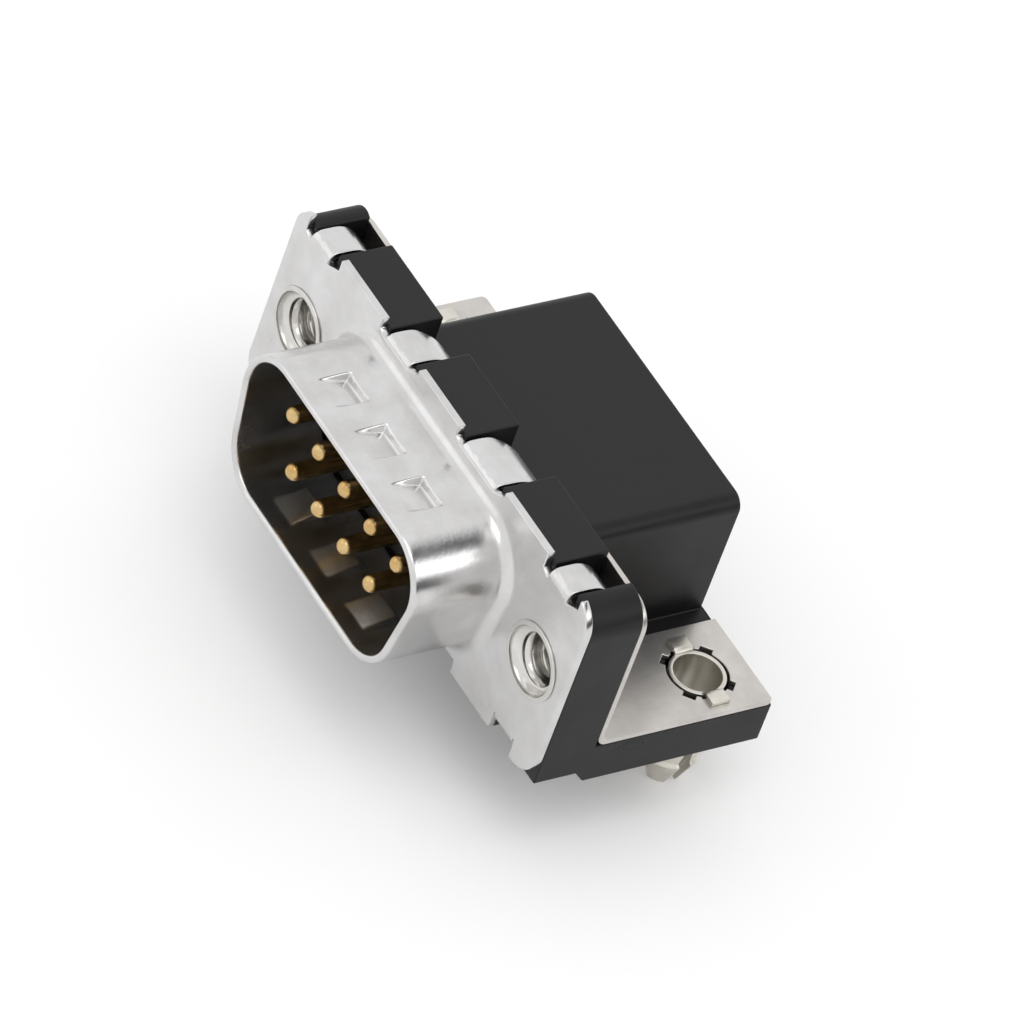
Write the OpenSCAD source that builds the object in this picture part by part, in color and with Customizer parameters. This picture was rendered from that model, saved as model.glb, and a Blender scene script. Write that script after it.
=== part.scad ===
// Nine-way D-sub plug, right-angle board mount, with ground straps and barrel boardlocks.
//
// Frame: the origin lies on the front face of the shell flange, midway between the two threaded inserts.
// +X runs to the right for someone who faces the pins, +Y runs back from the mating face, +Z is up.
// The circuit board lies under the part, at board_drop below the origin.

/* [Shell flange] */
// Distance from an insert's axis out to the flange's end
end_margin = 2.91; // [2.8:0.01:3.1]
// Distance from the inside of the D to the flange's upper and lower lips
lip_margin = 2.09; // [2:0.01:2.3]
// Radius of the flange's four corners
flange_corner_r = 1.75; // [1:0.05:2.5]
// Thickness of the steel sheet
sheet_t = 0.45; // [0.35:0.01:0.5]
// Distance from the inside of the D out to an insert's axis
insert_margin = 4.035; // [4:0.005:4.1]

/* [D shell] */
// Widest inside width of the D
shell_in_w = 16.92; // [16.6:0.01:17.1]
// Inside height of the D
shell_in_h = 8.36; // [8.2:0.01:8.5]
// Inside radius of the D's corners
shell_corner_r = 2.6; // [2.3:0.05:2.9]
// Slant of the D's two sides, in degrees
side_slant = 10; // [8:0.5:12]
// Reach of the D in front of the flange
shell_reach = 5.9; // [5.7:0.01:6.2]
// Outside radius where the drawn wall runs into the flange
draw_r = 0.7; // [0.5:0.05:0.9]
// Distance between neighbouring dimples
dimple_pitch = 3.88; // [3.4:0.01:4.2]
// Width of one dimple
dimple_w = 2; // [1.6:0.05:2.4]
// Length of one dimple, from its shallow end to its steep end
dimple_len = 2.25; // [1.8:0.05:2.4]
// Depth of one dimple at its steep end
dimple_depth = 0.5; // [0.35:0.01:0.6]
// Distance from the rim back to the shallow end of the dimples
dimple_inset = 1.2; // [1:0.05:1.4]

/* [Crimp tabs] */
// Width of the four outer tabs
outer_tab_w = 1.85; // [1.6:0.05:2.1]
// Width of the narrow inner tabs
tab_w = 2.3; // [1.8:0.05:2.6]
// Width of the wide tab on the upper edge
wide_tab_w = 3.35; // [3:0.05:3.8]
// Distance from the middle to the outer tabs on the left
left_tab_x = 12.95; // [12.8:0.05:13.1]
// Distance from the middle to the outer tabs on the right
right_tab_x = 12.3; // [12.1:0.05:12.6]
// Distance from the middle to the narrow inner tab on the upper edge
narrow_tab_x = 4.9; // [4.5:0.05:5.2]
// Distance from the middle to the wide tab on the upper edge
wide_tab_x = 3.7; // [3.4:0.05:4.2]
// Distance from the middle to the inner tabs on the lower edge
low_tab_x = 5.9; // [5.4:0.05:6.4]
// Depth at which the tabs lie below the moulding's edge
tab_sink = 0.06; // [0.02:0.01:0.15]
// Relief cut on the left of a tab
tab_relief = 0.55; // [0.3:0.05:0.7]
// Relief cut on the right of a tab
wide_relief = 1; // [0.6:0.05:1.2]
// Inside radius of the tab's first bend
tab_bend_r = 0.2; // [0.15:0.01:0.3]
// Straight run between the two bends of an outer tab
outer_run = 0.65; // [0.5:0.01:0.8]
// Inside radius of the hook at the end of an outer tab
outer_hook_r = 1.45; // [1.3:0.01:1.6]
// Straight run between the two bends of an inner tab
inner_run = 0.45; // [0.3:0.01:0.6]
// Inside radius of the hook at the end of an inner tab
inner_hook_r = 2.7; // [2.4:0.05:2.8]
// How far the hooks turn down, in degrees
tab_hook_turn = 52; // [46:1:56]

/* [Contacts] */
// Distance between neighbouring contacts of one row
contact_pitch = 2.77; // [2.7:0.01:2.8]
// Distance between the two rows
row_pitch = 2.84; // [2.7:0.01:2.95]
// Diameter of the pins
pin_d = 1; // [0.9:0.01:1.1]
// Distance from the shell's rim back to the tips of the pins
pin_inset = 0.86; // [0.6:0.01:1.2]
// Diameter of the collar that stops a contact in the housing
collar_d = 1.5; // [1.4:0.01:1.6]
// Diameter of the tails
tail_d = 0.65; // [0.55:0.01:0.75]
// Bend radius of the tails, on their middle line
tail_bend_r = 1.1; // [0.8:0.05:1.4]
// Distance from the flange's front face back to the nearer row of tails
tail_row_y = 10.4; // [10:0.01:10.8]
// Distance between the two rows of tails on the board
tail_row_pitch = 2.84; // [2.5:0.01:2.95]
// Reach of the tails below the board's upper face
tail_reach = 3.2; // [2.8:0.05:3.8]

/* [Housing] */
// Thickness of the moulded flange behind the shell
body_t = 3.3; // [3.1:0.05:3.6]
// How far the shell's upper lip stands above the moulded flange
lip_rise = 0.49; // [0.4:0.01:0.6]
// How far the moulded flange stands below the shell's lower lip
body_skirt = 0.18; // [0.1:0.01:0.3]
// Run of the slope at the front of each foot
toe_run = 0.65; // [0.4:0.05:0.9]
// How far the contact block stands into the D past the flange's front face
block_proud = 0.2; // [0.1:0.05:0.5]
// Gap between the moulded flange's lower edge and the board
board_gap = 0.75; // [0.6:0.01:0.9]
// Thickness of the two feet that rest on the board
foot_t = 2.65; // [2.5:0.01:2.7]
// Distance from the flange's front face back to the end of the feet
foot_end_y = 14.85; // [14.6:0.01:15.2]
// Width of the hood over the tails
hood_w = 16.4; // [16:0.05:16.6]
// Height of the hood's top above the insert axis
hood_top = 3.5; // [3.3:0.05:3.8]
// Distance from the flange's front face back to the hood's rear
hood_end_y = 14.75; // [14.6:0.01:14.85]
// Radius of the hood's two long upper edges
hood_edge_r = 0.85; // [0.5:0.05:1]
// Thickness of the hood's walls
hood_wall = 0.8; // [0.6:0.01:0.9]
// Depth of the contact block behind the moulded flange
block_t = 2.4; // [2:0.05:3]
// Depth of the pockets that hold the contacts' collars
pocket_t = 1; // [0.8:0.05:1.4]
// Gap that keeps the hood's lower rim off the board
rim_lift = 0.35; // [0.25:0.01:0.5]
// Distance from the hood's top up to the floor of the tabs' slots
slot_rise = 0.15; // [0.1:0.05:0.3]

/* [Ground straps] */
// Thickness of the strap's sheet
strap_t = 0.3; // [0.25:0.01:0.35]
// Width of a strap
strap_w = 6.1; // [5.9:0.05:6.2]
// Drop from the moulded flange's top to the top of the strap
strap_inset = 0.48; // [0.3:0.01:0.6]
// Radius of the strap's upper outer corner
strap_corner_r = 1.45; // [1.2:0.05:1.6]
// Radius of the strap's rear outer corner
strap_foot_r = 0.3; // [0.2:0.05:0.8]
// Inside radius of the strap's bend
strap_bend_r = 0.3; // [0.2:0.05:0.4]

/* [Boardlocks] */
// Distance from the flange's front face back to the boardlocks
lock_y = 11.8; // [11.5:0.01:12]
// Outside diameter of the rolled barrel
lock_d = 3.2; // [3:0.01:3.3]
// Thickness of the barrel's sheet
lock_t = 0.25; // [0.2:0.01:0.3]
// Reach of the barrel below the board's upper face
lock_reach = 4.3; // [4:0.05:4.6]
// Diameter of the tip that enters the board first
lock_tip_d = 2.2; // [2:0.05:2.4]
// Drop from the board's face to the top of the tines' slots
tine_drop = 0.4; // [0.2:0.05:0.6]
// Height of the barbs above the tines' tips
barb_rise = 1.75; // [1.4:0.05:2]
// How far the barbs stand out from the barrel
lock_barb = 0.18; // [0.1:0.01:0.25]
// Width of the slots between the tines
lock_slot_w = 0.7; // [0.5:0.05:0.9]
// Width of the two ears that lie on the strap
lock_ear_w = 1.15; // [1:0.05:1.3]
// Length of the ears past the barrel's wall
lock_ear_len = 0.8; // [0.6:0.05:0.9]

/* [Threaded inserts] */
// Diameter of the insert's threaded hole
thread_d = 2.84; // [2.7:0.01:2.9]
// Diameter of the insert's body
insert_d = 3.9; // [3.7:0.01:4]
// Diameter of the rolled ring on the front of the flange
ring_d = 4.4; // [4.3:0.01:4.6]
// How far the rolled ring stands off the flange
ring_proud = 0.12; // [0.08:0.01:0.2]
// Diameter of the lead-in at the insert's mouth
mouth_d = 3.5; // [3.3:0.01:3.6]
// Diameter of the insert's head behind the strap
head_d = 4.8; // [4.6:0.05:5.2]
// Thickness of the insert's head
head_t = 0.5; // [0.4:0.05:0.8]

/* [Fits] */
// Clearance round a contact in the housing
contact_gap = 0.03; // [0.02:0.01:0.05]
// Clearance round an insert and between the contact block and the shell
body_gap = 0.05; // [0.03:0.01:0.08]
// Clearance between a tab and its slot, on each side
slot_gap = 0.2; // [0.1:0.01:0.3]
// Clearance under a tab's bends
tab_gap = 0.04; // [0.02:0.01:0.06]
// Clearance round a boardlock's barrel
lock_gap = 0.15; // [0.1:0.01:0.2]

/* [Hidden] */
contact_names = [for (i = [1:9]) str("contact_", i)];
$fn = 64;

upper_count = 5;
lower_count = 4;
// As drawn, the inserts stand 24.99 apart and the flange is 30.81 by 12.54
insert_x = shell_in_w / 2 + insert_margin;
end_x = insert_x + end_margin;
lip_z = shell_in_h / 2 + lip_margin;
flange_w = 2 * end_x;
flange_h = 2 * lip_z;
// The circuit board lies board_drop below the inserts' axes
body_low = lip_z + body_skirt;
board_drop = body_low + board_gap;
body_back_y = sheet_t + body_t;
block_back_y = body_back_y + block_t;
strap_back_y = body_back_y + strap_t;
foot_top_z = foot_t - board_drop;
strap_z = foot_top_z + strap_t;
lock_r = lock_d / 2;
lock_tip_z = -board_drop - lock_reach;
// How far a cutter runs past the face it opens
cut = 1;
hole_r = insert_d / 2 + body_gap;

// The D is a ring at one distance from a four-cornered core line. Its corners are listed anticlockwise
// from the upper right, for someone who faces the pins.
core_z = shell_in_h / 2 - shell_corner_r;
core_top_x = shell_in_w / 2 - shell_corner_r;
core_low_x = core_top_x - 2 * core_z * tan(side_slant);
core = [[core_top_x, core_z], [-core_top_x, core_z], [-core_low_x, -core_z], [core_low_x, -core_z]];
// The direction that each side of the D faces: right, top, left, bottom
facing = [-side_slant, 90, 180 + side_slant, 270];
core_side = 2 * core_z / cos(side_slant);
run_length = [core_side, 2 * core_top_x, core_side, 2 * core_low_x];

// Tabs: [middle, width, straight run, inside radius of the hook]
outer_form = [outer_run, outer_hook_r];
inner_form = [inner_run, inner_hook_r];
upper_tabs = [concat(-left_tab_x, outer_tab_w, outer_form), concat(-narrow_tab_x, tab_w, inner_form),
    concat(wide_tab_x, wide_tab_w, inner_form), concat(right_tab_x, outer_tab_w, outer_form)];
lower_tabs = [concat(-left_tab_x, outer_tab_w, outer_form), concat(-low_tab_x, tab_w, inner_form),
    concat(low_tab_x, tab_w, inner_form), concat(right_tab_x, outer_tab_w, outer_form)];
body_top = lip_z - lip_rise;
strap_top = body_top - strap_inset;
tab_under_z = body_top - tab_sink - sheet_t;
tab_bend_y = sheet_t + tab_bend_r;
tab_bend_z = tab_under_z - tab_bend_r;
slot_floor_z = hood_top + slot_rise;

// Draws with x across, y up and z forward, as the mating face is seen
module face_on() {
    rotate([90, 0, 0]) children();
}

// Draws a side view, with x running back along Y and y running up, as thick as w and centred on x
module side_on(x, w) {
    translate([x - w / 2, 0, 0]) rotate([90, 0, 90]) linear_extrude(w) children();
}

// Mirrors what is drawn for the right-hand side: side is +1 for right and -1 for left
module on_side(side) {
    mirror([side > 0 ? 0 : 1, 0, 0]) children();
}

module rounded_rect(w, h, r) {
    square([w - 2 * r, h], center = true);
    square([w, h - 2 * r], center = true);
    for (x = [-1, 1], y = [-1, 1]) translate([x * (w / 2 - r), y * (h / 2 - r)]) circle(r);
}

// The D's outline at a distance from its core line
module d_outline(reach) {
    polygon(core);
    for (i = [0:3]) {
        translate(core[i]) circle(reach);
        translate(core[i]) rotate(facing[i]) translate([0, -run_length[i]]) square([reach, run_length[i]]);
    }
}

// Sweeps a profile round the D: the profile's x is the distance from the core line and its y runs forward
module d_sweep() {
    for (i = [0:3]) {
        turn = facing[(i + 1) % 4] - facing[i];
        translate(core[i]) {
            rotate([0, 0, facing[i]]) rotate_extrude(angle = (turn + 360) % 360) children();
            rotate([0, 0, facing[i]]) rotate([90, 0, 0]) linear_extrude(run_length[i]) children();
        }
    }
}

// Section of the drawn sheet: the wall, its rounded rim and the bend into the flange
module drawn_section() {
    rim_r = sheet_t / 2;
    bend_x = shell_corner_r + sheet_t + draw_r;
    translate([shell_corner_r, draw_r]) square([sheet_t, shell_reach - rim_r - draw_r]);
    translate([shell_corner_r + rim_r, shell_reach - rim_r]) circle(rim_r);
    intersection() {
        translate([bend_x, draw_r]) difference() {
            circle(draw_r + sheet_t);
            circle(draw_r);
        }
        translate([shell_corner_r, -sheet_t]) square([bend_x - shell_corner_r, draw_r + sheet_t]);
    }
}

// Side view of the punch that presses a dimple: a ramp and a steep end
module punch_side() {
    steep = dimple_depth / 3;
    over = sheet_t;
    ramp = dimple_len - steep;
    polygon([[-over * ramp / dimple_depth, over], [ramp, -dimple_depth], [dimple_len, 0],
        [dimple_len, over]]);
}

// Side view of the bump that the punch raises on the inner face of the wall
module bump_side() {
    polygon([[0, -sheet_t / 2], [0, -sheet_t], [dimple_len - sheet_t / 2, -sheet_t - dimple_depth],
        [dimple_len + sheet_t / 2, -sheet_t], [dimple_len + sheet_t / 2, -sheet_t / 2]]);
}

// Puts three copies side by side on the upper wall of the D, and three on the lower
module at_dimples(w) {
    for (side = [0, 1], i = [-1:1])
        mirror([0, 0, side]) translate([0, dimple_inset - shell_reach, shell_in_h / 2 + sheet_t])
            side_on(i * dimple_pitch, w) children();
}

// Side view of a tab on the upper edge: up from the flange, back over the moulding and down into its slot
module tab_side(run, hook_r) {
    module bend(y, z, r, from, to) {
        mid = (from + to) / 2;
        reach = 2 * (r + sheet_t);
        translate([y, z]) intersection() {
            difference() {
                circle(r + sheet_t);
                circle(r);
            }
            polygon([[0, 0], reach * [cos(from), sin(from)], reach * [cos(mid), sin(mid)],
                reach * [cos(to), sin(to)]]);
        }
    }
    bend(tab_bend_y, tab_bend_z, tab_bend_r, 90, 180);
    translate([tab_bend_y, tab_under_z]) square([run, sheet_t]);
    bend(tab_bend_y + run, tab_under_z - hook_r, hook_r, 90 - tab_hook_turn, 90);
}

// Side view of the land under an upper tab, which the tab is crimped round. It runs on in front of the
// moulding, where it keeps the slot clear of the contact block
module saddle_side(run, hook_r) {
    module quarter(r) {
        intersection() {
            circle(r);
            square(r);
        }
    }
    hook_y = tab_bend_y + run;
    hook_z = tab_under_z - hook_r;
    translate([-2 * cut, hook_z - hook_r]) square([hook_y + 2 * cut, tab_bend_z - hook_z + hook_r]);
    translate([tab_bend_y, tab_bend_z]) square([run, tab_bend_r - tab_gap]);
    translate([tab_bend_y, tab_bend_z]) mirror([1, 0]) quarter(tab_bend_r - tab_gap);
    translate([hook_y, hook_z - hook_r]) square([hook_r - tab_gap, hook_r]);
    translate([hook_y, hook_z]) quarter(hook_r - tab_gap);
}

// Draws children at every tab as for an upper one; $tab holds the tab's sizes
module at_tabs() {
    for ($tab = upper_tabs) children();
    mirror([0, 0, 1]) for ($tab = lower_tabs) children();
}

// The notches that free the tabs of one edge from the flange, wider on their right
module tab_notches(tabs) {
    for (tab = tabs) translate([tab[0] - tab[1] / 2 - tab_relief, tab_bend_z])
        square([tab_relief + tab[1] + wide_relief, lip_z + cut - tab_bend_z]);
}

// The shell is drawn from one tinned steel sheet: flange, D, dimples and eight crimped tabs
module front_shell() {
    color("gainsboro") {
        difference() {
            union() {
                face_on() d_sweep() drawn_section();
                at_dimples(dimple_w + sheet_t) bump_side();
            }
            at_dimples(dimple_w) punch_side();
        }
        face_on() translate([0, 0, -sheet_t]) linear_extrude(sheet_t) difference() {
            rounded_rect(flange_w, flange_h, flange_corner_r);
            d_outline(shell_corner_r + sheet_t + draw_r);
            for (x = [-1, 1] * insert_x) translate([x, 0]) circle(hole_r);
            tab_notches(upper_tabs);
            mirror([0, 1]) tab_notches(lower_tabs);
        }
        at_tabs() side_on($tab[0], $tab[1]) tab_side($tab[2], $tab[3]);
    }
}

// Places of the contacts: [x, z, distance back to the tail]
contact_places = concat(
    [for (i = [0:upper_count - 1])
        [(i - (upper_count - 1) / 2) * contact_pitch, row_pitch / 2, tail_row_y + tail_row_pitch]],
    [for (i = [0:lower_count - 1])
        [(i - (lower_count - 1) / 2) * contact_pitch, -row_pitch / 2, tail_row_y]]);

// The block that holds the contacts fills the D up to its front face. Its corners are turned in short flats
module contact_block() {
    reach = shell_corner_r - body_gap;
    flats = 8;
    outline = [for (i = [0:3], step = [0:flats])
        let (turn = (facing[(i + 1) % 4] - facing[i] + 360) % 360, angle = facing[i] + turn * step / flats)
        core[i] + reach * [cos(angle), sin(angle)]];
    root_y = sheet_t + body_t / 2;
    translate([0, 0, -root_y]) linear_extrude(root_y + block_proud) polygon(outline);
}

// The moulded flange, with rounded upper corners and slots for the crimped tabs
module moulded_flange() {
    face_on() translate([0, 0, -body_back_y]) linear_extrude(body_t) {
        translate([-end_x, -body_low]) square([flange_w, body_low + body_top - flange_corner_r]);
        translate([-end_x + flange_corner_r, 0]) square([flange_w - 2 * flange_corner_r, body_top]);
        for (side = [-1, 1]) translate([side * (end_x - flange_corner_r), body_top - flange_corner_r])
            circle(flange_corner_r);
    }
}

// The slots are cut round the land that each tab is crimped over
module tab_slots() {
    at_tabs() side_on($tab[0], $tab[1] + 2 * slot_gap) difference() {
        translate([sheet_t - cut, slot_floor_z]) square([body_t + cut, body_low + cut - slot_floor_z]);
        saddle_side($tab[2], $tab[3]);
    }
}

// A foot that carries the strap and rests on the board, with a sloping toe under the flange
module foot() {
    w = end_x - hood_w / 2 + hood_wall;
    side_on(end_x - w / 2, w) polygon([[body_back_y - toe_run, -body_low], [body_back_y, -board_drop],
        [foot_end_y, -board_drop], [foot_end_y, foot_top_z], [body_back_y - toe_run, foot_top_z]]);
}

// The hood over the tails: rounded along its two upper side edges, open below
module hood() {
    base_z = rim_lift - board_drop;
    h = hood_top - base_z;
    face_on() translate([0, base_z, -hood_end_y]) linear_extrude(hood_end_y - sheet_t) {
        translate([-hood_w / 2 + hood_edge_r, 0]) square([hood_w - 2 * hood_edge_r, h]);
        translate([-hood_w / 2, 0]) square([hood_w, h - hood_edge_r]);
        for (side = [-1, 1]) translate([side * (hood_w / 2 - hood_edge_r), h - hood_edge_r]) circle(hood_edge_r);
    }
}

// One moulding in black glass-filled thermoplastic: flange, contact block, hood and feet
module housing() {
    core_w = hood_w - 2 * hood_wall;
    color("#2b2b2e") difference() {
        union() {
            moulded_flange();
            face_on() contact_block();
            hood();
            for (side = [-1, 1]) on_side(side) foot();
        }
        tab_slots();
        translate([-core_w / 2, block_back_y, -board_drop - cut])
            cube([core_w, hood_end_y - hood_wall - block_back_y, board_drop + cut + hood_top - hood_wall]);
        face_on() for (place = contact_places) translate([place[0], place[1], -block_back_y - cut]) {
            cylinder(d = pin_d + 2 * contact_gap, h = block_back_y + block_proud + 2 * cut);
            cylinder(d = collar_d + 2 * contact_gap, h = pocket_t + cut);
        }
        for (side = [-1, 1]) {
            face_on() translate([side * insert_x, 0, -body_back_y - cut])
                cylinder(r = hole_r, h = body_t + 2 * cut);
            translate([side * insert_x, lock_y, -board_drop - cut])
                cylinder(r = lock_r + lock_gap, h = foot_t + 2 * cut);
        }
    }
}

// A turned and gilt contact: domed pin, collar, and a tail bent down to the board
module contact(place) {
    tip_y = pin_inset - shell_reach;
    tail_z = -board_drop - tail_reach;
    elbow_y = place[2] - tail_bend_r;
    elbow_z = place[1] - tail_bend_r;
    color("goldenrod") translate([place[0], 0, 0]) {
        translate([0, 0, place[1]]) face_on() {
            translate([0, 0, -block_back_y]) cylinder(d = pin_d, h = block_back_y - tip_y - pin_d / 2);
            translate([0, 0, -tip_y - pin_d / 2]) sphere(d = pin_d);
            translate([0, 0, -block_back_y]) cylinder(d = collar_d, h = pocket_t);
            translate([0, 0, -elbow_y]) cylinder(d = tail_d, h = elbow_y - block_back_y + pocket_t);
        }
        translate([0, elbow_y, elbow_z]) rotate([90, 0, 90]) rotate_extrude(angle = 90)
            translate([tail_bend_r, 0]) circle(d = tail_d);
        translate([0, place[2], tail_z + tail_d / 2])
            cylinder(d = tail_d, h = elbow_z - tail_z - tail_d / 2);
        translate([0, place[2], tail_z]) cylinder(d1 = tail_d / 2, d2 = tail_d, h = tail_d / 2);
    }
}

// A strap bent from tinned sheet: it stands behind the flange and lies on the foot
module ground_strap(side) {
    inner_x = end_x - strap_w;
    bend_y = strap_back_y + strap_bend_r;
    bend_z = strap_z + strap_bend_r;
    color("silver") on_side(side) {
        face_on() translate([0, 0, -strap_back_y]) linear_extrude(strap_t) difference() {
            union() {
                translate([inner_x, bend_z]) square([strap_w, strap_top - strap_corner_r - bend_z]);
                translate([inner_x, bend_z]) square([strap_w - strap_corner_r, strap_top - bend_z]);
                translate([end_x - strap_corner_r, strap_top - strap_corner_r]) circle(strap_corner_r);
            }
            translate([insert_x, 0]) circle(hole_r);
        }
        side_on(end_x - strap_w / 2, strap_w) translate([bend_y, bend_z]) intersection() {
            difference() {
                circle(strap_bend_r + strap_t);
                circle(strap_bend_r);
            }
            translate([-strap_bend_r - strap_t, -strap_bend_r - strap_t]) square(strap_bend_r + strap_t);
        }
        translate([0, 0, foot_top_z]) linear_extrude(strap_t) difference() {
            union() {
                translate([inner_x, bend_y]) square([strap_w, foot_end_y - strap_foot_r - bend_y]);
                translate([inner_x, bend_y]) square([strap_w - strap_foot_r, foot_end_y - bend_y]);
                translate([end_x - strap_foot_r, foot_end_y - strap_foot_r]) circle(strap_foot_r);
            }
            translate([insert_x, lock_y]) {
                circle(lock_r + lock_gap);
                for (i = [0:3]) rotate(45 + 90 * i) translate([0, -lock_slot_w / 2])
                    square([lock_r + 3 * lock_gap, lock_slot_w]);
                for (turn = [0, 180]) rotate(turn) translate([0, -lock_ear_w / 2 - lock_gap])
                    square([lock_r + lock_gap, lock_ear_w + 2 * lock_gap]);
            }
        }
    }
}

// A barrel rolled from tinned sheet: two ears lie on the strap, four barbed tines snap into the board
module boardlock(side) {
    tine_z = -board_drop - tine_drop;
    barb_z = lock_tip_z + barb_rise;
    tip_r = lock_tip_d / 2;
    color("silver") on_side(side) translate([insert_x, lock_y, 0]) {
        difference() {
            rotate_extrude() polygon([[lock_r - lock_t, strap_z], [lock_r, strap_z],
                [lock_r, barb_z + lock_barb], [lock_r + lock_barb, barb_z], [tip_r, lock_tip_z],
                [tip_r - lock_t, lock_tip_z], [lock_r - lock_t, barb_z]]);
            for (turn = [0, 90]) rotate(turn) translate([-lock_d, -lock_slot_w / 2, lock_tip_z - cut])
                cube([2 * lock_d, lock_slot_w, tine_z - lock_tip_z + cut]);
            translate([0, -lock_gap / 2, lock_tip_z]) cube([lock_d, lock_gap, strap_z - lock_tip_z + cut]);
        }
        for (turn = [0, 180]) rotate(turn) translate([0, lock_ear_w / 2, 0]) rotate([90, 0, 0])
            linear_extrude(lock_ear_w) translate([lock_r + lock_gap, strap_z - lock_gap]) {
                intersection() {
                    difference() {
                        circle(lock_gap + lock_t);
                        circle(lock_gap);
                    }
                    translate([-lock_gap - lock_t, 0]) square(lock_gap + lock_t);
                }
                translate([0, lock_gap]) square([lock_ear_len - lock_gap, lock_t]);
            }
    }
}

// A turned and tinned insert: its head bears on the strap, its front end is rolled over the flange
module threaded_insert(side) {
    bore_r = thread_d / 2;
    ring_r = ring_d / 2;
    mouth_r = mouth_d / 2;
    color("lightgray") on_side(side) translate([insert_x, 0, 0]) face_on() rotate_extrude() {
        polygon([[bore_r, -strap_back_y - head_t], [head_d / 2, -strap_back_y - head_t],
            [head_d / 2, -strap_back_y], [insert_d / 2, -strap_back_y], [insert_d / 2, 0],
            [ring_r, 0], [ring_r - ring_proud, ring_proud], [mouth_r, ring_proud],
            [bore_r, ring_proud - (mouth_r - bore_r)]]);
    }
}

front_shell();
housing();
for (i = [0:8]) contact(contact_places[i]);
ground_strap(-1);  // ground_strap_left
ground_strap(1);  // ground_strap_right
boardlock(-1);  // boardlock_left
boardlock(1);  // boardlock_right
threaded_insert(-1);  // threaded_insert_left
threaded_insert(1);  // threaded_insert_right
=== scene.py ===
import math

import bmesh
import bpy
from mathutils import Matrix, Vector, noise


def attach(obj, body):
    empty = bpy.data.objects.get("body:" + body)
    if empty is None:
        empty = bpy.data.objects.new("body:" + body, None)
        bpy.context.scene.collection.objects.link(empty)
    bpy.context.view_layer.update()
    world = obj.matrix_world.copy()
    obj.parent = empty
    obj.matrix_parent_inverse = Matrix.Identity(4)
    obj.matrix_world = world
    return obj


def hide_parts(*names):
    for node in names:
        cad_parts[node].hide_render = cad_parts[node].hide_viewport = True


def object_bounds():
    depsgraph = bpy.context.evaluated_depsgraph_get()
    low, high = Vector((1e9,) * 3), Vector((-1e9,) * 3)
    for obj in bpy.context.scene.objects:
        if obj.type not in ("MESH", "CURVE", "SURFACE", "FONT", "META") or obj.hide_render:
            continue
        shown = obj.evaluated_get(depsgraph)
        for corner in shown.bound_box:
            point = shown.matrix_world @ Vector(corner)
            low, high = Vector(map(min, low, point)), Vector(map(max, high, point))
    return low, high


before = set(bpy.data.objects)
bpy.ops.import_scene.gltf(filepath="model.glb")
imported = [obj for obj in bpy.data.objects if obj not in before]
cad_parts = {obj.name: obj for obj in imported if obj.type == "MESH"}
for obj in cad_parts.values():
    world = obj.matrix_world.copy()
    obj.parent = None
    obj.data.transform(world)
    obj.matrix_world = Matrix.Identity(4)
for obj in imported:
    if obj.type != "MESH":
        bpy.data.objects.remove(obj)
cad_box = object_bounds()


# ---------------------------------------------------------------------------------------------
# Front shell. One sheet of low-carbon steel, deep drawn into the D, pierced, and plated with tin.
# Six dimples are punched into the D to touch the mating shell, and eight tabs are crimped back over
# the moulding and down behind its lands. Everything here is in millimetres until it is shown.
# ---------------------------------------------------------------------------------------------
MM = 0.001
MERGE = 0.0005
SIDES = (("left", -1), ("right", 1))
SHEET, SHEET_EDGE_R = 0.45, 0.05
FLANGE_W, FLANGE_H, FLANGE_R = 30.81, 12.54, 1.75
INSERT_X, INSERT_HOLE_R = 12.495, 2.0
SHELL_REACH = 5.9
CORNER_R = 2.6
DRAW_R = 0.7
# The D is a ring round four corners, listed anticlockwise from the upper right. Each side's facing is
# in degrees.
D_CORNERS = [(5.86, 1.58), (-5.86, 1.58), (-5.303, -1.58), (5.303, -1.58)]
D_FACING = [-10, 90, 190, 270]
DIMPLE_PITCH, DIMPLE_W, DIMPLE_DEPTH = 3.88, 2.0, 0.5
DIMPLE_FRONT_Y, DIMPLE_REAR_Y, DIMPLE_STEEP = -4.7, -2.45, 0.17
# Nothing is pressed outside this stretch of Y or below this height
DIMPLE_ZONE_Y, DIMPLE_LEAST_Z = (-5.3, -1.4), CORNER_R + 1.0
# In half widths of a dimple: where its side ends, and how long the side's slope is
DIMPLE_SIDE, DIMPLE_SIDE_RUN = 1.06, 0.12
# The wall dragged down behind a dimple: depth, stretch of Y, and reach in half widths
DRAG, DRAG_RUN, DRAG_REACH = 0.07, 0.75, 1.15
# Steps along the D's wall: in depth, round a corner, across a short side, and their length on a long side
WALL_STEPS, TURN_STEPS, SHORT_STEPS, LONG_STEP = 50, 28, 4, 0.085
TAB_TURN, TAB_BEND_R, TAB_UNDER_Z, TAB_ROOT = 52, 0.2, 5.27, 0.1
# Tabs further out than this stand beside the inserts, and the others beside the D
OUTER_X = INSERT_X / 2 + 1
RELIEF_LEFT, RELIEF_RIGHT, RELIEF_BELOW, RELIEF_RISE = 0.55, 1.0, 0.15, 0.45
NOTCH_FOOT, NOTCH_RISE = 0.1, 0.2
# The sheet crumples round this place on its bend, in a coarse and a fine pattern
CREASE_Y, CREASE_RUN, CRUMPLE, CRUMPLE_FINE = 0.28, 0.2, 0.024, 0.018
TAPER_START, TAPER_RUN = 0.8, 1.3
# The upper left corner has been left with a tighter round than the others
TIGHT_R = 1.15
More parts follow.
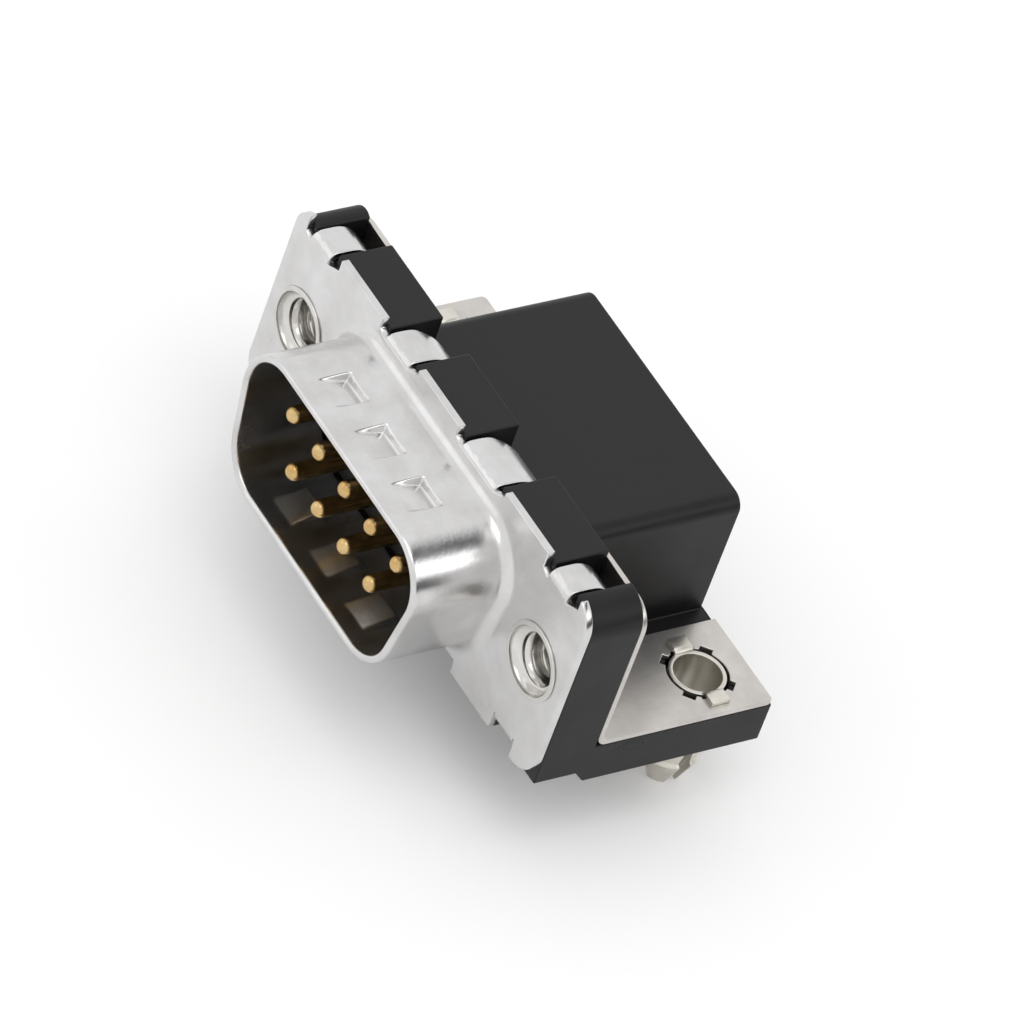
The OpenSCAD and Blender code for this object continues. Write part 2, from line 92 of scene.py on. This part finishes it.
# Tabs: middle, width, straight run between the two bends, inside radius of the hook, and how much the
# end is tapered on its left
OUTER_TABS = [(-12.95, 1.85, 0.65, 1.45, 0.12), (12.3, 1.85, 0.65, 1.45, 0.12)]
TABS_ABOVE = OUTER_TABS + [(-4.9, 2.3, 0.45, 2.7, 0.55), (3.7, 3.35, 0.45, 2.7, 0.55)]
TABS_BELOW = OUTER_TABS + [(-5.9, 2.3, 0.45, 2.7, 0.55), (5.9, 2.3, 0.45, 2.7, 0.55)]


def linear(colour):
    """The linear values of an sRGB hex colour."""
    parts = [int(colour[i:i + 2], 16) / 255 for i in (1, 3, 5)]
    return [c / 12.92 if c <= 0.04045 else ((c + 0.055) / 1.055) ** 2.4 for c in parts] + [1.0]


def add(material, kind, inputs=(), **settings):
    """Adds one node with its settings. An input holds a constant or another node's output."""
    made = material.node_tree.nodes.new("ShaderNode" + kind)
    for name, value in settings.items():
        setattr(made, name, value)
    for name, value in dict(inputs).items():
        if isinstance(value, bpy.types.NodeSocket):
            material.node_tree.links.new(value, made.inputs[name])
        else:
            made.inputs[name].default_value = value
    return made


def new_material(name):
    material = bpy.data.materials.new(name)
    material.use_nodes = True
    material.node_tree.nodes.clear()
    return material


def tone(material, factor, stops):
    """Runs a factor through a ramp of (place, colour) stops."""
    ramp = add(material, "ValToRGB", {"Fac": factor})
    ramp.color_ramp.elements.remove(ramp.color_ramp.elements[1])
    for i, (place, colour) in enumerate(stops):
        stop = ramp.color_ramp.elements[0] if i == 0 else ramp.color_ramp.elements.new(place)
        stop.position = place
        stop.color = linear(colour) if isinstance(colour, str) else (colour, colour, colour, 1)
    return ramp.outputs["Color"]


def mottle(material, place, size, detail, roughness=0.5):
    """Noise with features of about a size in millimetres."""
    made = add(material, "TexNoise", {"Vector": place, "Scale": 1000 / size, "Detail": detail,
                                      "Roughness": roughness})
    return made.outputs["Fac"]


def relief(material, height, depth, **over):
    """Normals with a relief of a depth in millimetres, laid over the ones given as Normal, if any."""
    made = add(material, "Bump", {"Height": height, "Distance": depth * MM, "Strength": 1.0, **over})
    return made.outputs["Normal"]


def tin_plate(name, light, dark, rough, ripple):
    """Tin plate: a bright satin metal, faintly cloudy, that ripples where it was worked."""
    material = new_material(name)
    place = add(material, "TexCoord").outputs["Object"]
    cloud = mottle(material, place, 2.2, 4.0, 0.6)
    colour = tone(material, cloud, [(0.3, dark), (0.7, light)])
    roughness = tone(material, cloud, [(0.3, rough + 0.05), (0.7, rough - 0.04)])
    waved = relief(material, mottle(material, place, 1.1, 2.0), ripple)
    grained = relief(material, mottle(material, place, 0.22, 3.0), 0.005, Normal=waved)
    shader = add(material, "BsdfPrincipled", {"Base Color": colour, "Metallic": 1.0,
                                              "Roughness": roughness, "Normal": grained})
    add(material, "OutputMaterial", {"Surface": shader.outputs["BSDF"]})
    return material


def as_object(bm, name, material):
    """Puts a bmesh into the scene as an object, and frees it."""
    mesh = bpy.data.meshes.new(name)
    bm.to_mesh(mesh)
    bm.free()
    mesh.materials.append(material)
    made = bpy.data.objects.new(name, mesh)
    bpy.context.scene.collection.objects.link(made)
    return made


def show(bm, name, material, slot, *nodes):
    """Turns a bmesh in millimetres into a finished piece that stands for CAD nodes."""
    for face in bm.faces:
        # Sheet that stands square to the mating axis is flat to its rounded edge
        face.smooth = abs(face.normal.y) < 0.99999
    bmesh.ops.transform(bm, matrix=Matrix.Scale(MM, 4), verts=bm.verts)
    piece = as_object(bm, name, material)
    piece.modifiers.new("even_normals", "WEIGHTED_NORMAL").keep_sharp = True
    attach(piece, "root")
    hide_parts(*nodes)


def arc(cx, cz, radius, start, end, steps):
    """Points on an arc, as (x, z) pairs, from one angle to another in degrees."""
    angles = [math.radians(start + (end - start) * i / steps) for i in range(steps + 1)]
    return [(cx + radius * math.cos(a), cz + radius * math.sin(a)) for a in angles]


def new_loop(bm, points):
    """A closed loop of edges through points."""
    verts = [bm.verts.new(p) for p in points]
    return [bm.edges.new((verts[i - 1], verts[i])) for i in range(len(verts))]


def split(geom):
    """The vertices and the edges among what a bmesh operator returns."""
    return ([g for g in geom if isinstance(g, bmesh.types.BMVert)],
            [g for g in geom if isinstance(g, bmesh.types.BMEdge)])


def turn_profile(bm, half, x, z, steps, closed=False):
    """Turns a half section of (radius, y) points once round an axis along Y."""
    line = [bm.verts.new((x + r, y, z)) for r, y in half]
    edges = [bm.edges.new((line[i - 1], line[i])) for i in range(0 if closed else 1, len(line))]
    bmesh.ops.spin(bm, geom=line + edges, cent=(x, 0, z), axis=(0, 1, 0), angle=2 * math.pi,
                   steps=steps, use_merge=True)
    bmesh.ops.remove_doubles(bm, verts=bm.verts, dist=MERGE)


def round_edges(bm, width, segments=2, angle=35):
    """Rounds every edge sharper than an angle, as tumbling and moulding do."""
    least = math.radians(angle)
    sharp = [e for e in bm.edges if len(e.link_faces) == 2 and e.calc_face_angle(0) > least]
    bmesh.ops.bevel(bm, geom=sharp, offset=width, offset_type="OFFSET", segments=segments, profile=0.5,
                    affect="EDGES", clamp_overlap=False, material=-1)


def clamp(value):
    """A value held between 0 and 1."""
    return min(1.0, max(0.0, value))


def dimple(x, y, z):
    """How deep the punch has pressed the wall of the D at a point."""
    front_y, rear_y = DIMPLE_ZONE_Y
    if abs(z) < DIMPLE_LEAST_Z or not front_y < y < rear_y:
        return 0.0
    across = min(abs(x - i * DIMPLE_PITCH) for i in (-1, 0, 1)) / (DIMPLE_W / 2)
    side = clamp((DIMPLE_SIDE - across) / DIMPLE_SIDE_RUN)
    slope = clamp((y - DIMPLE_FRONT_Y) / (DIMPLE_REAR_Y - DIMPLE_STEEP - DIMPLE_FRONT_Y))
    steep = clamp((DIMPLE_REAR_Y - y) / DIMPLE_STEEP)
    # Behind the steep end the wall has been dragged down a little
    drag = DRAG * max(0.0, 1 - abs(y - DIMPLE_REAR_Y) / DRAG_RUN) * max(0.0, DRAG_REACH - across)
    return max(DIMPLE_DEPTH * slope * steep * side, drag)


shell = bmesh.new()
wall_run = SHELL_REACH - SHEET / 2 - DRAW_R
wall_ys = [-DRAW_R - wall_run * i / WALL_STEPS for i in range(1, WALL_STEPS)]
section = arc(CORNER_R + SHEET + DRAW_R, -DRAW_R, DRAW_R, 90, 180, 8)
section += [(CORNER_R + SHEET, y) for y in wall_ys]
section += arc(CORNER_R + SHEET / 2, -SHELL_REACH + SHEET / 2, SHEET / 2, 0, -180, 10)
section += [(CORNER_R, y) for y in reversed(wall_ys)]
section += arc(CORNER_R + SHEET + DRAW_R, -DRAW_R, DRAW_R + SHEET, 180, 90, 8)
start = math.radians(D_FACING[0])
first_x, first_z = D_CORNERS[0]
rail = [shell.verts.new((first_x + r * math.cos(start), y, first_z + r * math.sin(start)))
        for r, y in section]
strip = [shell.edges.new(pair) for pair in zip(rail, rail[1:])]
for i, (x, z) in enumerate(D_CORNERS):
    next_x, next_z = D_CORNERS[(i + 1) % 4]
    turn = math.radians((D_FACING[(i + 1) % 4] - D_FACING[i]) % 360)
    # Seen from the front the sweep runs anticlockwise, so its axis points forward
    turned = bmesh.ops.spin(shell, geom=rail + strip, cent=(x, 0, z), axis=(0, -1, 0), angle=turn,
                            steps=TURN_STEPS)
    rail, strip = split(turned["geom_last"])
    # The long sides carry the dimples, so they are cut finely
    side_length = math.hypot(next_x - x, next_z - z)
    steps = round(side_length / LONG_STEP) if i in (0, 2) else SHORT_STEPS
    step = Vector((next_x - x, 0, next_z - z)) / steps
    run = bmesh.ops.spin(shell, geom=rail + strip, cent=(0, 0, 0), axis=(0, -1, 0), angle=0,
                         steps=steps, dvec=step)
    rail, strip = split(run["geom_last"])
bmesh.ops.remove_doubles(shell, verts=shell.verts, dist=2 * MERGE)
for v in shell.verts:
    v.co.z -= math.copysign(dimple(*v.co), v.co.z)


lip_z, end_x = FLANGE_H / 2, FLANGE_W / 2
bend_z = TAB_UNDER_Z - TAB_BEND_R
# The D's root runs close under the inner tabs, so their notches stop a web's width above it
inner_floor_z = D_CORNERS[0][1] + CORNER_R + SHEET + DRAW_R + 0.1


def lip_height(x, sign):
    """Height of the flange's edge at x, with its rounded corners."""
    radius = TIGHT_R if x < 0 and sign > 0 else FLANGE_R
    return lip_z - radius + math.sqrt(radius ** 2 - max(0.0, abs(x) - end_x + radius) ** 2)


def edge_with_notches(tabs, sign):
    """A long edge of the flange, the upper from +X to -X and the lower back, notched for its tabs."""
    points = []
    for x, w, *_ in sorted(tabs):
        # Along the lower edge the sheet is nicked only as wide as the tab
        left = x - w / 2 - (RELIEF_LEFT if sign > 0 else RELIEF_BELOW)
        right = x + w / 2 + (RELIEF_RIGHT if sign > 0 else RELIEF_BELOW)
        floor_z = bend_z if abs(x) > OUTER_X else inner_floor_z
        # The right half of each notch has been torn less deep
        points += [(left, sign * lip_height(left, sign)), (left, sign * (floor_z + NOTCH_RISE)),
                   (x - w / 2 - NOTCH_FOOT, sign * floor_z), (x + w / 2 + NOTCH_FOOT, sign * floor_z),
                   (right, sign * (floor_z + RELIEF_RISE)), (right, sign * lip_height(right, sign))]
    return points[::-1] if sign > 0 else points


def corner(side, sign):
    """The rounded corner on one side, from the flange's end to where the outermost notch begins."""
    radius = TIGHT_R if side < 0 and sign > 0 else FLANGE_R
    x, w, *_ = OUTER_TABS[0 if side < 0 else 1]
    relief = RELIEF_BELOW if sign < 0 else RELIEF_LEFT if side < 0 else RELIEF_RIGHT
    stop_x = abs(x) + w / 2 + relief
    turn = math.degrees(math.acos((stop_x - end_x + radius) / radius))
    points = arc(end_x - radius, lip_z - radius, radius, 0, turn, 12)[:-1]
    return [(side * x, sign * z) for x, z in points]


def lies_at(edge, y):
    """Whether an edge lies in the plane at y."""
    return all(abs(v.co.y - y) < 1e-4 for v in edge.verts)


outline = corner(1, 1) + edge_with_notches(TABS_ABOVE, 1) + corner(-1, 1)[::-1]
outline += corner(-1, -1) + edge_with_notches(TABS_BELOW, -1) + corner(1, -1)[::-1]
rings = new_loop(shell, [(x, 0, z) for x, z in outline])
for side in (-1, 1):
    hole = arc(side * INSERT_X, 0, INSERT_HOLE_R, 0, 360, 64)[:-1]
    rings += new_loop(shell, [(x, 0, z) for x, z in hole])
walls = bmesh.ops.extrude_edge_only(shell, edges=rings)
back_verts, back_edges = split(walls["geom"])
bmesh.ops.translate(shell, verts=back_verts, vec=(0, SHEET, 0))
back_rings = [e for e in back_edges if lies_at(e, SHEET)]
for y, loops in ((0, rings), (SHEET, back_rings)):
    root = [e for e in shell.edges if e.is_boundary and lies_at(e, y)]
    bmesh.ops.triangle_fill(shell, use_beauty=True, use_dissolve=False,
                            edges=list(set(root) | set(loops)))
bmesh.ops.remove_doubles(shell, verts=shell.verts, dist=MERGE)
bmesh.ops.recalc_face_normals(shell, faces=shell.faces)
round_edges(shell, SHEET_EDGE_R)


def crimped_tab(x, w, run, hook_r, taper, sign):
    """Adds a tongue of the sheet: up, back over the moulding and down, crumpled at its bend."""
    # An inner tab leaves the sheet close to the D's root, just behind its front face
    front, sheet = (-0.004, SHEET) if abs(x) > OUTER_X else (0.02, SHEET - 0.03)
    tab = bmesh.new()
    grid = bmesh.ops.create_grid(tab, x_segments=round(w / 0.09), y_segments=2, size=0.5)["verts"]
    bmesh.ops.scale(tab, verts=grid, vec=(w, sheet, 1))
    bmesh.ops.translate(tab, verts=grid, vec=(x, front + sheet / 2, sign * (bend_z - TAB_ROOT)))
    geom = list(tab.verts) + list(tab.edges) + list(tab.faces)
    back_y = front + sheet
    for cent_y, cent_z, angle, steps, dvec in (
            (0, 0, 0, 1, (0, 0, sign * TAB_ROOT)),
            (back_y + TAB_BEND_R, bend_z, 90, 12, (0, 0, 0)),
            (0, 0, 0, 5, (0, run / 5, 0)),
            (back_y + TAB_BEND_R + run, TAB_UNDER_Z - hook_r, TAB_TURN, 16, (0, 0, 0))):
        geom = bmesh.ops.spin(tab, geom=geom, cent=(0, cent_y, sign * cent_z), axis=(-sign, 0, 0),
                              angle=math.radians(angle), steps=steps, dvec=dvec)["geom_last"]
    bmesh.ops.recalc_face_normals(tab, faces=tab.faces)
    round_edges(tab, SHEET_EDGE_R)
    taper_y = back_y + TAB_BEND_R + run
    for v in tab.verts:
        # The bend is crumpled where the crimping tool has stretched it
        crease = math.exp(-((v.co.y - CREASE_Y) / CREASE_RUN) ** 2)
        rough = noise.noise(Vector((v.co.x * 3.2, v.co.y * 9, v.co.z * 2 + sign * x)))
        fine = noise.noise(Vector((v.co.x * 9, v.co.y * 14, v.co.z * 9 + sign * x)))
        push = crease * (CRUMPLE * rough + CRUMPLE_FINE * fine)
        v.co.y += push
        v.co.z -= sign * push
        if v.co.x < x:
            along = clamp((v.co.y - taper_y - TAPER_START) / TAPER_RUN)
            v.co.x -= (v.co.x - x) * taper * along / (w / 2)
    mesh = bpy.data.meshes.new("tab")
    tab.to_mesh(mesh)
    tab.free()
    shell.from_mesh(mesh)
    bpy.data.meshes.remove(mesh)


for sign, tabs in ((1, TABS_ABOVE), (-1, TABS_BELOW)):
    for x, w, run, hook_r, taper in tabs:
        crimped_tab(x, w, run, hook_r, taper, sign)
shell_tin = tin_plate("tin_plate_on_drawn_steel", "#e4e3e3", "#d3d2d1", 0.23, 0.004)
show(shell, "front_shell_sheet", shell_tin, "shell_tin", "front_shell")


# ---------------------------------------------------------------------------------------------
# Housing. One moulding in black glass-filled thermoplastic: flange, contact block, hood and feet.
# The tool leaves small rounds on its edges and a satin skin.
# ---------------------------------------------------------------------------------------------
BODY_TOP, MOULD_R, MOULD_EDGE_R, ON_ARC = 5.78, 0.85, 0.09, 0.02
# Gate mark: its middle on the foot, and the stretch that makes it an oval of radius 1
GATE_Y, GATE_Z, GATE_STRETCH = 6.2, -5.15, (0, 1180, 2600)


def from_cad(node, whole=True):
    """A merged copy of a CAD node in millimetres, with its flat faces made whole if asked."""
    bm = bmesh.new()
    bm.from_mesh(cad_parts[node].data)
    bmesh.ops.transform(bm, matrix=Matrix.Scale(1 / MM, 4), verts=bm.verts)
    bmesh.ops.remove_doubles(bm, verts=bm.verts, dist=MERGE)
    if whole:
        bmesh.ops.dissolve_limit(bm, angle_limit=math.radians(0.5), verts=bm.verts, edges=bm.edges,
                                 use_dissolve_boundaries=False)
    bmesh.ops.recalc_face_normals(bm, faces=bm.faces)
    return bm


def moulded_plastic(name):
    """Black glass-filled thermoplastic, moulded: dark grey, satin, with a fine skin of fibre ends."""
    material = new_material(name)
    place = add(material, "TexCoord").outputs["Object"]
    cloud = mottle(material, place, 3.0, 5.0, 0.65)
    colour = tone(material, cloud, [(0.3, "#0e0e10"), (0.75, "#141416")])
    roughness = tone(material, cloud, [(0.3, 0.4), (0.7, 0.5)])
    # Where the sprue was cut off the outer side of each foot, an oval ring is left
    off = add(material, "VectorMath", {0: place, 1: (0, GATE_Y * MM, GATE_Z * MM)}, operation="SUBTRACT")
    oval = add(material, "VectorMath", {0: off.outputs["Vector"], 1: GATE_STRETCH}, operation="MULTIPLY")
    reach = add(material, "VectorMath", {0: oval.outputs["Vector"]}, operation="LENGTH")
    ring = tone(material, reach.outputs["Value"], [(0.6, 0.35), (0.78, 0.0), (0.9, 1.0), (1.0, 0.5)])
    gate = relief(material, ring, 0.05)
    grained = relief(material, mottle(material, place, 0.12, 3.0, 0.7), 0.006, Normal=gate)
    shader = add(material, "BsdfPrincipled", {"Base Color": colour, "Roughness": roughness, "IOR": 1.41,
                                              "Normal": grained})
    add(material, "OutputMaterial", {"Surface": shader.outputs["BSDF"]})
    return material


moulding = from_cad("housing", whole=False)
for v in moulding.verts:
    # The upper left corner of the moulding is tighter than the sheet's
    dx, dz = v.co.x + end_x - FLANGE_R, v.co.z - BODY_TOP + FLANGE_R
    reach = math.hypot(dx, dz)
    if dx < 0 < dz and abs(reach - FLANGE_R) < ON_ARC:
        # From the old centre to the smaller round, along this vertex's own direction
        ux, uz, gap = -dx / reach, dz / reach, FLANGE_R - MOULD_R
        along = gap * (ux + uz)
        grown = along + math.sqrt(max(0.0, along ** 2 - 2 * gap ** 2 + MOULD_R ** 2))
        grown = min(grown, FLANGE_R / max(ux, uz))
        v.co.x, v.co.z = v.co.x - dx - ux * grown, v.co.z - dz + uz * grown
round_edges(moulding, MOULD_EDGE_R)
black_plastic = moulded_plastic("glass_filled_thermoplastic")
show(moulding, "housing_moulding", black_plastic, "housing_plastic", "housing")


# ---------------------------------------------------------------------------------------------
# Contacts. Nine turned copper-alloy pins, gold over nickel, pressed into the block from behind.
# Each has a domed tip, a collar, and a tail bent down to the board.
# ---------------------------------------------------------------------------------------------
def gold_plate(name):
    """Gold over nickel on a turned pin: smooth and bright, with the faint rings that turning leaves."""
    material = new_material(name)
    place = add(material, "TexCoord").outputs["Object"]
    rings = add(material, "TexWave", {"Vector": place, "Scale": 1000 / 2.0, "Distortion": 0.6,
                                      "Detail": 2.0}, bands_direction="Y")
    cloud = mottle(material, place, 0.9, 3.0)
    colour = tone(material, cloud, [(0.3, "#cba669"), (0.7, "#e0c48f")])
    roughness = tone(material, cloud, [(0.3, 0.17), (0.7, 0.26)])
    turned = relief(material, rings.outputs["Fac"], 0.0008)
    shader = add(material, "BsdfPrincipled", {"Base Color": colour, "Metallic": 1.0,
                                              "Roughness": roughness, "Normal": turned})
    add(material, "OutputMaterial", {"Surface": shader.outputs["BSDF"]})
    return material


gold = gold_plate("gold_on_turned_brass")
PIN_R, COLLAR_R, TAIL_R, TAIL_BEND_R = 0.5, 0.75, 0.325, 1.1
TIP_Y, BLOCK_BACK_Y, POCKET_T, TAIL_TIP_Z = -5.04, 6.15, 1.0, -10.4
PIN_PITCH, COLLAR_CHAMFER, PIN_EDGE_R = 2.77, 0.06, 0.02
# Rows: how many pins, their height, and how far back their tails go down
ROWS = [(5, 1.42, 13.24), (4, -1.42, 10.4)]
pin_number = 0
for count, row_z, tail_y in ROWS:
    for i in range(count):
        pin_number += 1
        pin_x = (i - (count - 1) / 2) * PIN_PITCH
        pin = bmesh.new()
        # Half section of the turned part, from the tip's middle back to the start of the tail
        half = [(r, TIP_Y + PIN_R - d) for d, r in arc(0, 0, PIN_R, 0, 90, 10)]
        collar_y = BLOCK_BACK_Y - POCKET_T
        half += [(PIN_R, collar_y), (COLLAR_R - COLLAR_CHAMFER, collar_y),
                 (COLLAR_R, collar_y + COLLAR_CHAMFER), (COLLAR_R, BLOCK_BACK_Y),
                 (TAIL_R, BLOCK_BACK_Y), (TAIL_R, tail_y - TAIL_BEND_R)]
        turn_profile(pin, half, pin_x, row_z, 40)
        ring = [e for e in pin.edges if e.is_boundary]
        geom = ring + list({v for e in ring for v in e.verts})
        down = bmesh.ops.spin(pin, geom=geom, cent=(0, tail_y - TAIL_BEND_R, row_z - TAIL_BEND_R),
                              axis=(-1, 0, 0), angle=math.pi / 2, steps=12)["geom_last"]
        drop = row_z - TAIL_BEND_R - TAIL_TIP_Z - TAIL_R / 2
        foot = bmesh.ops.spin(pin, geom=down, cent=(0, 0, 0), axis=(1, 0, 0), angle=0, steps=2,
                              dvec=(0, 0, -drop / 2))["geom_last"]
        last = bmesh.ops.extrude_edge_only(pin, edges=split(foot)[1])
        tip = split(last["geom"])[0]
        bmesh.ops.scale(pin, verts=tip, vec=(0.5, 0.5, 1),
                        space=Matrix.Translation((-pin_x, -tail_y, 0)))
        bmesh.ops.translate(pin, verts=tip, vec=(0, 0, -TAIL_R / 2))
        bmesh.ops.contextual_create(pin, geom=[e for e in pin.edges if e.is_boundary])
        bmesh.ops.recalc_face_normals(pin, faces=pin.faces)
        round_edges(pin, PIN_EDGE_R, segments=1, angle=50)
        show(pin, f"gilt_pin_{pin_number}", gold, "contact_gold", f"contact_{pin_number}")


# ---------------------------------------------------------------------------------------------
# Ground straps. Tinned strip bent in an L: one leg stands behind the flange, the other lies on
# the foot. The threaded insert and the boardlock's ears hold each of them.
# ---------------------------------------------------------------------------------------------
strap_tin = tin_plate("tin_plate_on_bent_strip", "#dedad5", "#cbc7c2", 0.33, 0.004)
STRAP_Z, STRAP_EDGE_R = -4.5, 0.04
MARK_X, MARK_Y, MARK_R, MARK_WIRE_R, MARK_LIFT = 12.5, 7.4, 0.33, 0.075, 0.01
for side, sign in SIDES:
    strap = from_cad(f"ground_strap_{side}")
    round_edges(strap, STRAP_EDGE_R)
    # A punch has left a small ring beside the bend
    mark_x = sign * MARK_X
    section = arc(MARK_R, STRAP_Z + MARK_LIFT, MARK_WIRE_R, 0, 360, 10)[:-1]
    wire = new_loop(strap, [(mark_x + r, MARK_Y, z) for r, z in section])
    wire += list({v for e in wire for v in e.verts})
    bmesh.ops.spin(strap, geom=wire, cent=(mark_x, MARK_Y, 0), axis=(0, 0, 1), angle=2 * math.pi,
                   steps=28, use_merge=True)
    bmesh.ops.recalc_face_normals(strap, faces=strap.faces)
    show(strap, f"strap_{side}", strap_tin, "strap_tin", f"ground_strap_{side}")


# ---------------------------------------------------------------------------------------------
# Boardlocks. A barrel rolled from tinned strip: two ears lie on the strap, and four barbed tines
# spring into a plated hole of the board.
# ---------------------------------------------------------------------------------------------
# The boardlock's tin is painted paler than the other tin plate. This painted light stands in for the
# light inside its dim barrel.
lock_tin = tin_plate("tin_on_rolled_strip_painted_lighter", "#ebe7de", "#d8d4ca", 0.34, 0.004)
LOCK_EDGE_R = 0.03
for side, _ in SIDES:
    lock = from_cad(f"boardlock_{side}", whole=False)
    round_edges(lock, LOCK_EDGE_R)
    show(lock, f"barrel_lock_{side}", lock_tin, "lock_tin", f"boardlock_{side}")


# ---------------------------------------------------------------------------------------------
# Threaded inserts. Turned and tinned, with a head behind the strap. The front end is rolled over
# the flange, and its mouth is countersunk for the jackscrew.
# ---------------------------------------------------------------------------------------------
insert_tin = tin_plate("bright_tin_on_turned_steel", "#e2e0dc", "#d0ceca", 0.2, 0.002)
INSERT_R, RING_R, RING_PROUD, MOUTH_R = 1.95, 2.2, 0.12, 1.92
THREAD_R, CREST_R, THREAD_PITCH = 1.42, 1.2, 0.635
THREAD_START, THREAD_RUNOUT, THREAD_SUNK, THREAD_STEPS = 0.25, 0.45, 0.02, 48
HEAD_R, HEAD_Y, HEAD_T, HEAD_CHAMFER = 2.4, 4.05, 0.5, 0.12
HEAD_BACK = HEAD_Y + HEAD_T
for side, sign in SIDES:
    insert = bmesh.new()
    half = [(THREAD_R, HEAD_BACK), (HEAD_R - HEAD_CHAMFER, HEAD_BACK), (HEAD_R, HEAD_BACK - HEAD_CHAMFER),
            (HEAD_R, HEAD_Y), (INSERT_R, HEAD_Y), (INSERT_R, 0)]
    # The front end is a rolled bead, and inside it the mouth is a bowl
    bead = arc(RING_R - RING_PROUD / 2, RING_PROUD / 2, RING_PROUD / 2, -60, 90, 8)
    bowl = arc(THREAD_R, 0.0, MOUTH_R - THREAD_R, 0, 90, 10)
    half += [(r, -z) for r, z in bead] + [(r, z - RING_PROUD) for r, z in bowl]
    turn_profile(insert, half, sign * INSERT_X, 0, 64, closed=True)
    # The thread is one tooth wound back along the bore: its radius, and its place in pitches
    turns = int((HEAD_BACK - THREAD_RUNOUT) / THREAD_PITCH)
    profile = [(THREAD_R + THREAD_SUNK, 0), (CREST_R, 0.42), (CREST_R, 0.58), (THREAD_R + THREAD_SUNK, 1)]
    tooth = [insert.verts.new((sign * INSERT_X + r, THREAD_START + place * THREAD_PITCH, 0))
             for r, place in profile]
    edges = [insert.edges.new(pair) for pair in zip(tooth, tooth[1:])]
    bmesh.ops.spin(insert, geom=tooth + edges, cent=(sign * INSERT_X, 0, 0), axis=(0, 1, 0),
                   angle=2 * math.pi * turns, steps=THREAD_STEPS * turns,
                   dvec=(0, THREAD_PITCH / THREAD_STEPS, 0))
    bmesh.ops.remove_doubles(insert, verts=insert.verts, dist=MERGE)
    bmesh.ops.recalc_face_normals(insert, faces=insert.faces)
    show(insert, f"insert_{side}", insert_tin, "insert_tin", f"threaded_insert_{side}")


# ---------------------------------------------------------------------------------------------
# Studio. A pale floor under the part, three soft boxes round it, two black cards that the bright
# metal mirrors, and a long lens.
# ---------------------------------------------------------------------------------------------
FLOOR_HALF, FLOOR_GLOW, WORLD_LIGHT = 1.5, 0.1, 0.92
card = new_material("white_card")
base = add(card, "BsdfPrincipled", {"Base Color": linear("#f7f7f7"), "Roughness": 0.9})
# To the camera the floor is a little paler than it is to the part, and it still takes the part's shadow
seen = add(card, "LightPath").outputs["Is Camera Ray"]
strength = add(card, "Math", {0: seen, 1: FLOOR_GLOW}, operation="MULTIPLY")
glow = add(card, "Emission", {"Color": linear("#ffffff"), "Strength": strength.outputs["Value"]})
both = add(card, "AddShader", {0: base.outputs["BSDF"], 1: glow.outputs["Emission"]})
add(card, "OutputMaterial", {"Surface": both.outputs["Shader"]})
sheet = bmesh.new()
bmesh.ops.create_grid(sheet, x_segments=8, y_segments=8, size=FLOOR_HALF)
bmesh.ops.translate(sheet, verts=sheet.verts, vec=(0, 0, cad_box[0].z))
as_object(sheet, "floor", card)

world = bpy.data.worlds.new("studio")
bpy.context.scene.world = world
world.use_nodes = True
world.node_tree.nodes["Background"].inputs["Color"].default_value = linear("#ffffff")
world.node_tree.nodes["Background"].inputs["Strength"].default_value = WORLD_LIGHT


def stand(made, place, aim):
    """Stands an object at a place, facing what it is aimed at."""
    made.location = place
    made.rotation_euler = (Vector(aim) - Vector(place)).to_track_quat("-Z", "Y").to_euler()


def soft_box(name, place, size, watts):
    """An area lamp that looks at the part."""
    lamp = bpy.data.lights.new(name, "AREA")
    lamp.shape, lamp.size, lamp.size_y, lamp.energy = "RECTANGLE", size[0], size[1], watts
    made = bpy.data.objects.new(name, lamp)
    bpy.context.scene.collection.objects.link(made)
    stand(made, place, (0, 0.004, 0))


def dark_card(name, place, size):
    """A black card that stands where the bright metal should reflect a dark streak."""
    bm = bmesh.new()
    bmesh.ops.create_grid(bm, x_segments=1, y_segments=1, size=0.5)
    bmesh.ops.scale(bm, verts=bm.verts, vec=(size[0], size[1], 1))
    made = as_object(bm, name, black_card)
    stand(made, place, (0, 0, 0))


black_card = new_material("black_card")
base = add(black_card, "BsdfPrincipled", {"Base Color": linear("#0a0a0a"), "Roughness": 1.0})
add(black_card, "OutputMaterial", {"Surface": base.outputs["BSDF"]})
dark_card("gap_card", (0.12, 0.24, 0.36), (0.34, 0.1))
dark_card("horizon_card", (0.21, 0.13, 0.035), (0.25, 0.09))

soft_box("overhead", (0.15, -0.1, 0.7), (0.5, 0.5), 0.8)
soft_box("front_left", (-0.5, -0.6, 0.45), (0.6, 0.6), 0.3)
soft_box("right", (0.5, 0.35, 0.3), (0.35, 0.4), 0.4)

AZIMUTH, ELEVATION, ROLL = 45.084, 42.02, 20.958
DISTANCE, TARGET = 0.56191, Vector((0.002399, 0.004886, -0.000446))
FOCAL_LENGTH, SENSOR_W = 379.82, 36.0
lens = bpy.data.cameras.new("camera")
lens.lens, lens.sensor_width, lens.clip_start, lens.clip_end = FOCAL_LENGTH, SENSOR_W, 0.01, 10.0
camera = bpy.data.objects.new("camera", lens)
azimuth, elevation, roll = (math.radians(angle) for angle in (AZIMUTH, ELEVATION, ROLL))
back = Vector((math.sin(azimuth) * math.cos(elevation), -math.cos(azimuth) * math.cos(elevation),
               math.sin(elevation)))
level = Vector((math.cos(azimuth), math.sin(azimuth), 0))
upright = back.cross(level)
right = math.cos(roll) * level + math.sin(roll) * upright
up = -math.sin(roll) * level + math.cos(roll) * upright
axes = Matrix((right, up, back)).transposed().to_4x4()
camera.matrix_world = Matrix.Translation(TARGET + DISTANCE * back) @ axes
bpy.context.scene.collection.objects.link(camera)
bpy.context.scene.camera = camera
bpy.context.scene.view_settings.view_transform = "Standard"
